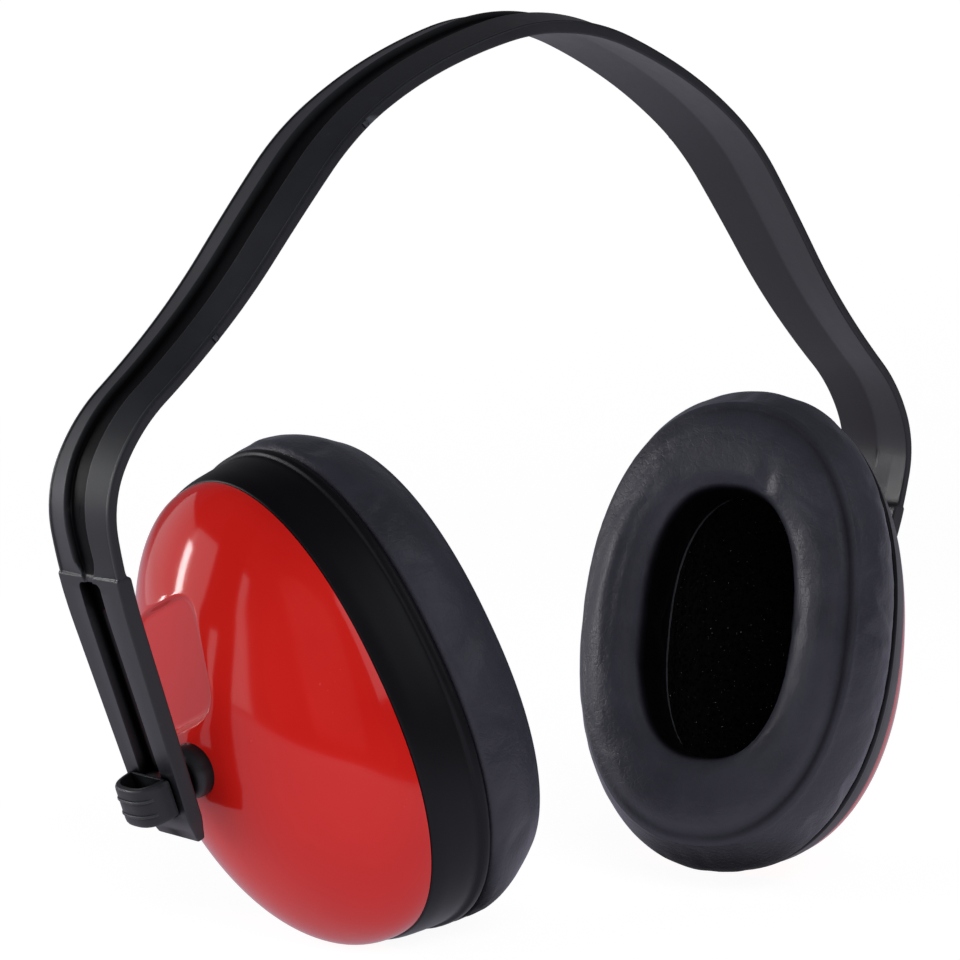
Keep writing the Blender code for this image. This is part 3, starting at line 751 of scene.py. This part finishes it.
# ------------------------------------------------------------------ ear cushion
# (offset, x, corner radius) round the pad, from the back's outer edge
COVER_CORNERS = (
    (0.9, COVER_BACK - 0.3, 0.6), (-1.3, COVER_BACK + 1.1, 1.5), (-1.8, COVER_BACK + 5.0, 3.5),
    (-0.5, COVER_BACK + 10.5, 3.5), (2.2, CREASE_X - 0.6, 1.1), (3.4, CREASE_X + 0.9, 1.0),
    (8.6, CREST_X - 0.6, 4.0), (14.6, CREST_X + 0.1, 4.0), (19.3, CREST_X - 0.9, 2.2),
    (20.6, CREST_X - 5.0, 2.6), (20.0, COVER_BACK + 5.0, 3.0), (18.9, COVER_BACK - 0.3, 0.6))
SEAM_OFFSET, SEAM_X = 2.9, CREASE_X + 0.3       # the welded edge line

# Inflation of the pad; vertices in the group "held" are pinned
CLOTH = dict(quality=6, mass=0.0008, tension_stiffness=6.0, compression_stiffness=6.0,
             shear_stiffness=3.0, bending_stiffness=0.05, air_damping=2.0, use_pressure=True,
             uniform_pressure_force=4.0, vertex_group_mass="held", pin_stiffness=0.8,
             shrink_min=-0.006)
CLOTH_FRAMES = 20
CLOTH_LIMIT = 1.3               # furthest a point may move

# Creases of the face: (degrees round, its spread, offset, its spread, height, skew)
CREASES = {
    "left": ((70, 30, 8.0, 1.6, -0.30, 0.05), (-60, 26, 11.0, 1.5, 0.25, 0.04),
             (150, 24, 10.0, 1.6, -0.25, 0.03)),
    "right": ((48, 30, 7.4, 1.3, -0.42, -0.05), (62, 26, 10.6, 1.5, 0.30, -0.05),
              (30, 20, 12.6, 1.6, -0.25, -0.06), (78, 22, 12.8, 1.2, -0.28, -0.03),
              (-24, 4.5, 17.2, 3.6, -0.75, 0.0), (-33, 5.5, 16.6, 3.2, 0.35, 0.0),
              (-14, 6.0, 15.8, 3.4, 0.28, 0.0))}
PINCH = {"left": -92.0, "right": -84.0}         # degrees round to the side's slanted pinch
WRINKLE_SEED = {"left": 3.1, "right": 8.7}


def cushion_shape(angle, offset):
    """Blend from the cushion's outer oval to the ear opening's own oval."""
    outer = outer_shape(angle, 0.0)
    opening = oval(angle, OPEN_HALF_Z, OPEN_HALF_Y, OPEN_POWER, OPEN_DROP)
    share = offset / OPEN_OFFSET
    return mix(outer[0], opening[0], share), mix(outer[1], opening[1], share)


def cushion_section():
    """The pad's outline with extra loops on long stretches for the cloth to work with."""
    section = rounded(COVER_CORNERS, 3)
    dense = []
    for i, (offset, x) in enumerate(section):
        dense.append((offset, x))
        next_offset, next_x = section[(i + 1) % len(section)]
        extra = int(math.hypot(next_offset - offset, next_x - x) / 1.6)
        for k in range(1, extra + 1):
            share = k / (extra + 1)
            dense.append((mix(offset, next_offset, share), mix(x, next_x, share)))
    return dense


def pin_weight(offset, x):
    if x < COVER_BACK + 1.0:
        return 1.0
    return 0.8 if math.hypot(offset - SEAM_OFFSET, x - SEAM_X) < 1.0 else 0.0


def relax_with_cloth(obj, pins):
    """Inflates the pad with a cloth simulation, then limits each point's move."""
    group = obj.vertex_groups.new(name="held")
    for index, weight in enumerate(pins):
        if weight > 0:
            group.add([index], float(weight), "REPLACE")
    cloth = obj.modifiers.new("cloth", "CLOTH")
    for key, value in CLOTH.items():
        setattr(cloth.settings, key, value)
    cloth.settings.effector_weights.gravity = 0.0
    cloth.collision_settings.use_collision = False
    cloth.collision_settings.use_self_collision = False
    cloth.point_cache.frame_start, cloth.point_cache.frame_end = 1, CLOTH_FRAMES
    rest = np.array([v.co for v in obj.data.vertices], float)
    for number in range(1, CLOTH_FRAMES + 1):
        scene.frame_set(number)
    graph = bpy.context.evaluated_depsgraph_get()
    moved = np.array([v.co for v in obj.evaluated_get(graph).data.vertices], float)
    obj.modifiers.clear()
    scene.frame_set(1)
    shift = moved - rest
    shift[~np.isfinite(shift).all(1)] = 0.0
    length = np.linalg.norm(shift, axis=1)
    shift *= (np.minimum(length, CLOTH_LIMIT * MM) / np.maximum(length, 1e-9))[:, None]
    obj.data.vertices.foreach_set("co", (rest + shift).astype(np.float32).ravel())
    obj.data.update()


def soft_folds(word, degrees, offset, x, face, side):
    """Height of the few strong creases, masked to the pad's face or side."""
    turn = (degrees + 180) % 360 - 180
    push = 0.0
    for centre, spread, middle, width, height, skew in CREASES[word]:
        away = turn - centre
        push += face * height * bell(away, spread) * bell(offset - middle - skew * away, width)
    away = turn - PINCH[word] - (x - COVER_BACK - 8.0) * 0.6
    push -= side * 0.55 * bell(away, 1.9) * bell(x - COVER_BACK - 9.0, 5.0)
    push += side * 0.30 * bell(away + 5.0, 3.2)
    return push


def wrinkle_height(word, angle, offset, x):
    """Push along the normal for the wrinkles, creases and welded seam."""
    seed = WRINKLE_SEED[word]
    cosine, sine = math.cos(angle), math.sin(angle)
    face = (smooth(3.0, 6.5, offset) * (1 - smooth(17.5, 19.8, offset))
            * smooth(CREASE_X - 2, CREASE_X + 1, x))
    side = (1 - smooth(1.0, 2.6, offset)) * smooth(COVER_BACK + 1, COVER_BACK + 4, x)
    radial = noise.noise(Vector((cosine * 4.2 + seed, sine * 4.2, offset * 0.06)))
    fold = noise.noise(Vector((cosine * 9.0, sine * 9.0 + seed, offset * 0.12 + x * 0.05)))
    push = 0.22 * face * radial + 0.05 * face * fold + 0.08 * side * fold
    push += soft_folds(word, math.degrees(angle), offset, x, face, side)
    ridge = math.exp(-((offset - SEAM_OFFSET) ** 2 + (x - SEAM_X) ** 2) / 0.8)
    valley = math.exp(-((offset - SEAM_OFFSET - 2.1) ** 2 + (x - SEAM_X - 1.3) ** 2) / 1.9)
    front = 0.5 - 0.5 * sine        # the valley is crisp at the front, soft at the back
    return push + 0.30 * ridge - mix(0.12, 0.75, front) * valley


def mark_cushion(mesh, section, angles):
    """Attributes for painted shade: the inner wall of the opening goes nearly black, the crease
    beside the seam darker, most at the front.
    """
    inner_wall_shade = mesh.attributes.new("inner_wall_shade", "FLOAT", "POINT")
    band = [smooth(CREST_X - 1.6, CREST_X - 3.6, x) * (1.0 if offset > 17 else 0.0)
            for offset, x in section]
    inner_wall_shade.data.foreach_set("value", band * len(angles))
    seam = mesh.attributes.new("seam", "FLOAT", "POINT")
    band = [math.exp(-((offset - SEAM_OFFSET - 1.5) ** 2 + (x - SEAM_X - 0.9) ** 2) / 1.0)
            for offset, x in section]
    seam.data.foreach_set("value", [mark * (0.55 - 0.45 * math.sin(angle))
                                    for angle in angles for mark in band])


def build_cushion(word, inward, matrix):
    section = cushion_section()
    angles = spaced_angles(168)
    pad = swept(f"{word}_cushion_leatherette", section, SKIN_MAT, matrix, inward, angles,
                cushion_shape)
    relax_with_cloth(pad, [pin_weight(offset, x) for offset, x in section] * len(angles))
    mesh = pad.data
    normals = [v.normal.copy() for v in mesh.vertices]
    for i, angle in enumerate(angles):
        for j, (offset, x) in enumerate(section):
            k = i * len(section) + j
            mesh.vertices[k].co += normals[k] * wrinkle_height(word, angle, offset, x) * MM
    mark_cushion(mesh, section, angles)
    soft = pad.modifiers.new("subdivision", "SUBSURF")
    soft.levels = soft.render_levels = 1
    return pad


# ------------------------------------------------------------------ foam bowl, socket
def build_liner(word, inward, matrix):
    """Open-cell foam bowl seen through the ear opening."""
    segments, rings = 160, 40
    angles = spaced_angles(segments)
    inset = LINER_INSET + LINER_WALL
    rows = []
    for i in range(rings + 1):
        share = i / rings
        scale = 1 - (1 - share) ** 1.7
        row = []
        for angle in angles:
            y, z = oval(angle, (SHELL_HALF_Z - inset) * scale, (SHELL_HALF_Y - inset) * scale)
            x = dome_x(y, z, inset) + LINER_EDGE - SHELL_EDGE if i < rings else LINER_EDGE
            lumps = (noise.noise(Vector((y * 0.35, z * 0.35, 4.0))) * 0.9
                     + noise.noise(Vector((y * 1.3, z * 1.3, 9.0))) * 0.35)
            row.append((x + lumps * (1 - share ** 6), y, z))
        rows.append(row)
    for x in (LINER_EDGE, LINER_EDGE - LINER_LIP):
        rows.append([(x, *shell_oval(angle, LINER_INSET)) for angle in angles])
    # the first row is a single spot, so one hub point stands for it
    points = [(inward * x, y, z) for row in rows[1:] for x, y, z in row]
    points.append((inward * rows[0][0][0], 0.0, CUP_LIFT))
    faces = ring_faces(len(rows) - 1, segments) + fan_faces(0, segments, len(points) - 1)
    return object_from(f"{word}_foam_bowl", points, faces, FOAM_MAT, matrix)


# (radius, height, corner radius); height runs inward from the ball's centre
SOCKET_CORNERS = ((SOCKET_R, 9.2, 0.3), (SOCKET_R, -0.8, 0.6), (SOCKET_R - 0.6, -2.1, 0.5),
                  (SOCKET_R - 1.3, -2.7, 0.4), (3.85, -2.6, 0.3), (SEAT_R + GAP, 0.0, 1.5),
                  (3.6, 3.0, 0.4), (3.4, 9.2, 0.2))


def build_socket(word, inward, matrix):
    """Collar turned about the cup's X axis, round the ball."""
    profile = rounded(SOCKET_CORNERS, 4)
    segments = 72
    points = []
    for i in range(segments):
        angle = 2 * math.pi * i / segments
        points += [(radius * math.cos(angle), radius * math.sin(angle), height)
                   for radius, height in profile]
    return object_from(f"{word}_socket_collar", points, ring_faces(segments, len(profile), True),
                       KNOB_MAT, matrix @ Matrix.Rotation(inward * math.pi / 2, 4, "Y"), 50)


# ------------------------------------------------------------------ slider knob
KNOB_REST = -ARM_RAISE - GAP            # x of the face that rests on the arm
KNOB_REACH = KNOB_PROUD + 0.7
KNOB_EASE = ((0.0, 0.86), (0.15, 0.94), (0.5, 0.985), (1.1, 1.0))   # (in from the end, scale)


def knob_frame(word):
    """Arm frame at the slider, its origin STAND_OFF outward of the stud joint."""
    stud = JOINTS[f"{word}_stud_spin"]
    inward = Vector(stud["axis"]).normalized()
    upward = Vector(JOINTS[f"{word}_slider_travel"]["axis"]).normalized()
    return arm_matrix(inward, upward, Vector(stud["pos_m"]) - inward * STAND_OFF * MM)


def half_round(near, reach, half):
    """D-shaped outline: flat at `near`, swelling out by `reach`."""
    power = 2 / 2.7
    out = []
    for k in range(33):
        angle = math.radians(-90 + 180 * k / 32)
        sine = math.sin(angle)
        out.append(Vector((near - reach * abs(math.cos(angle)) ** power,
                           math.copysign(abs(sine) ** power, sine) * half)))
    return out


def build_ridge(name, line, height, arm):
    """Raised rib along part of the grip's outline, fading out at both ends."""
    rows = []
    for k, point in enumerate(line):
        out = Vector((point.x - (KNOB_REST - KNOB_REACH * 0.35), point.y * 0.9)).normalized()
        rise = 0.34 * smooth(0, 3, k) * (1 - smooth(len(line) - 4, len(line) - 1, k)) - 0.04
        base, crest = point - out * 0.35, point + out * rise
        shoulder = (mix(point.x, crest.x, 0.75), mix(point.y, crest.y, 0.75))
        rows.append([(place[0], place[1], height + lift) for lift, place in (
            (-0.45, base), (-0.26, shoulder), (-0.08, crest),
            (0.08, crest), (0.26, shoulder), (0.45, base))])
    return loft(name, rows, KNOB_MAT, arm)


def build_knob(word, arm):
    """Hollow oblong grip: an open-topped trough with two finger ridges and a foot."""
    half_width, half_height = KNOB_WIDTH / 2, KNOB_HEIGHT / 2 + 0.3
    outline = half_round(KNOB_REST, KNOB_REACH, half_width)
    centre = KNOB_REST - KNOB_REACH / 2
    levels = [(-half_height + inset, scale) for inset, scale in KNOB_EASE]
    levels += [(half_height - inset, scale) for inset, scale in reversed(KNOB_EASE)]
    rows = [[(centre + (x - centre) * scale, y * scale, z) for x, y in outline]
            for z, scale in levels]
    knob = loft(f"{word}_knob_grip", rows, KNOB_MAT, arm)
    hollow = half_round(KNOB_REST - 0.8, KNOB_REACH - 2.0, half_width - 1.3)
    rows = [[(x, y, z) for x, y in hollow] for z in (-half_height + 1.4, 8.0)]
    cut(knob, [loft("trough", rows, KNOB_MAT, arm)])
    parts = [knob]
    for name, z in (("upper", 1.5), ("lower", -1.7)):
        parts.append(build_ridge(f"{word}_knob_{name}_ridge", outline[5:24], z, arm))
    parts.append(box_prism(
        f"{word}_knob_foot", (KNOB_REST - 0.6, CHANNEL_FLOOR - GAP), CHANNEL_WIDTH - 2 * GAP,
        KNOB_HEIGHT - 2.4, arm @ Matrix.Translation((0, 0, 0.6 * MM)), corner=0.8, mat=KNOB_MAT))
    return parts


# ------------------------------------------------------------------ assembly
build_headband()
for inward, word in ((1, "left"), (-1, "right")):
    arm = knob_frame(word)
    spin, nod, yaw = (math.radians(degrees) for degrees in POSE[word])
    ball = Matrix.Translation(Vector(JOINTS[f"{word}_cup_nod"]["pos_m"]))
    cup = (ball @ Matrix.Rotation(yaw, 4, "Z") @ Matrix.Rotation(nod, 4, "Y")
           @ Matrix.Rotation(spin, 4, "X"))
    for obj, node, slot in (
            (build_shell(word, inward, cup), "cup_shell", "shell_red"),
            (build_rim(word, inward, cup), "cup_rim", "rim_black"),
            (build_cushion(word, inward, cup), "cushion_cover", "leatherette"),
            (build_liner(word, inward, cup), "foam_liner", "liner_foam"),
            (build_socket(word, inward, cup), "ball_socket", "slider_plastic")):
        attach(obj, f"{word}_cup")
        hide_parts(f"{word}_{node}")
        if node == "cushion_cover":
            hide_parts(f"{word}_cushion_foam")
    for number, piece in enumerate(build_knob(word, arm)):
        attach(piece, f"{word}_slider")
        if number == 0:
            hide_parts(f"{word}_slider_knob")
    for node, mat in (("pivot_stud", STUD_MAT), ("ball_seat", SEAT_MAT),
                      ("socket_clip", CLIP_MAT), ("cushion_plate", PLATE_MAT)):
        mesh = frame["nodes"][f"{word}_{node}"].data
        mesh.materials.clear()
        mesh.materials.append(mat)

# ------------------------------------------------------------------ floor (metres)
FLOOR_HEADING = math.radians(42)        # from +Y towards +X
FLOOR_NEAR, FLOOR_BEND, BEND_RADIUS, FLOOR_TOP = -1.6, 0.7, 0.5, 2.4
FLOOR_HALF, FLOOR_DROP = 3.0, 0.0004


def pale_floor():
    """A lit white table: it glows for the camera and bounces little light back."""
    mat = Shader("floor_pale")
    tone = mat.noise(scale=3.0, detail=3.0)
    seen = mat.add("ShaderNodeLightPath").outputs["Is Camera Ray"]
    height = mat.add("ShaderNodeSeparateXYZ", {"Vector": mat.coords}).outputs["Z"]
    bounce = mat.span(height, over=(0.0, 0.25), to=(0.42, 0.04))
    camera_glow = 0.93
    glow = mat.add("ShaderNodeMix", {0: seen, 2: bounce, 3: camera_glow}, data_type="FLOAT")
    return mat.set(
        Base_Color=mat.blend(tone, low=(0.20, 0.20, 0.21), high=(0.22, 0.22, 0.23)),
        Roughness=0.7,
        Emission_Color=mat.blend(seen, low=(0.94, 0.91, 1.08), high=(1.0, 1.0, 1.0)),
        Emission_Strength=glow.outputs[0], Specular_IOR_Level=0.1)


def build_floor():
    """A flat floor that curves up into a backdrop on the far side from the camera."""
    profile = [(FLOOR_NEAR, 0.0), (FLOOR_BEND, 0.0)]
    for k in range(1, 13):
        angle = math.radians(90 * k / 12)
        profile.append((FLOOR_BEND + BEND_RADIUS * math.sin(angle),
                        BEND_RADIUS - BEND_RADIUS * math.cos(angle)))
    profile.append((FLOOR_BEND + BEND_RADIUS, FLOOR_TOP))
    ahead = Vector((math.sin(FLOOR_HEADING), math.cos(FLOOR_HEADING), 0))
    across = Vector((ahead.y, -ahead.x, 0))
    points = [ahead * distance + across * width + Vector((0, 0, z - FLOOR_DROP))
              for distance, z in profile for width in (-FLOOR_HALF, FLOOR_HALF)]
    faces = [(2 * i, 2 * i + 1, 2 * i + 3, 2 * i + 2) for i in range(len(profile) - 1)]
    mesh = bpy.data.meshes.new("floor_sweep")
    mesh.from_pydata(points, [], faces)
    mesh.shade_smooth()
    mesh.materials.append(pale_floor())
    floor = bpy.data.objects.new("floor_sweep", mesh)
    scene.collection.objects.link(floor)


build_floor()

# ------------------------------------------------------------------ light (metres)
world = bpy.data.worlds.new("studio")
scene.world = world
world.use_nodes = True
background = world.node_tree.nodes["Background"]
background.inputs["Color"].default_value = (0.93, 0.95, 1.0, 1.0)
background.inputs["Strength"].default_value = 0.03

COOL = (0.95, 0.96, 1.0)
LEFT_CUP = (-0.087, 0.01, 0.075)
# (name, place, target, size, watts, colour)
LIGHTS = (
    ("left_panel", (-1.05, 0.35, 0.42), (-0.05, 0.05, 0.08), (1.1, 0.8), 2.9, COOL),
    ("back_left_panel", (-0.5, 1.15, 0.42), (-0.05, 0.0, 0.08), (1.0, 0.8), 1.5, COOL),
    ("bar_softbox", (-0.823, 0.838, 0.363), LEFT_CUP, (0.13, 0.5), 2.6, (1, 1, 1)),
    ("square_softbox", (-0.62, 1.02, 0.12), LEFT_CUP, (0.10, 0.10), 0.35, (1, 1, 1)),
    ("front_right_panel", (0.6, -0.95, 0.85), (0.0, 0, 0.08), (0.7, 0.6), 1.2, (0.90, 0.93, 1.0)),
    ("front_fill", (-0.6, -1.0, 0.6), (-0.03, 0, 0.08), (0.9, 0.9), 9.4, (1.0, 0.98, 0.97)))

for name, place, target, size, watts, colour in LIGHTS:
    lamp = bpy.data.lights.new(name, "AREA")
    lamp.shape = "RECTANGLE"
    lamp.size, lamp.size_y = size
    lamp.energy = watts
    lamp.color = colour
    obj = bpy.data.objects.new(name, lamp)
    scene.collection.objects.link(obj)
    obj.location = place
    obj.rotation_euler = (Vector(target) - Vector(place)).to_track_quat("-Z", "Y").to_euler()
    if name == "front_fill":
        obj.visible_glossy = False      # it fills without showing in the gloss

# ------------------------------------------------------------------ camera
AZIMUTH, ELEVATION, ROLL = (math.radians(degrees) for degrees in (41.91, 5.37, 0.55))
# mm from the crown along the camera's own right, up and back
CAMERA_RIGHT, CAMERA_UP, CAMERA_BACK = -10.8, -98.63, 655.92

back = Vector((-math.sin(AZIMUTH) * math.cos(ELEVATION),
               -math.cos(AZIMUTH) * math.cos(ELEVATION), math.sin(ELEVATION)))
level = Vector((math.cos(AZIMUTH), -math.sin(AZIMUTH), 0))
upright = back.cross(level)
right = math.cos(ROLL) * level + math.sin(ROLL) * upright
up = -math.sin(ROLL) * level + math.cos(ROLL) * upright
camera_data = bpy.data.cameras.new("camera")
camera = bpy.data.objects.new("camera", camera_data)
scene.collection.objects.link(camera)
placed = Matrix((right, up, back)).transposed().to_4x4()
placed.translation = (CAMERA_RIGHT * right + CAMERA_UP * up + CAMERA_BACK * back
                      + Vector((0, BAND_Y, CROWN_Z))) * MM
camera.matrix_world = placed
camera_data.lens = 115.11
camera_data.clip_start = 0.01
scene.camera = camera
scene.view_settings.view_transform = "Standard"
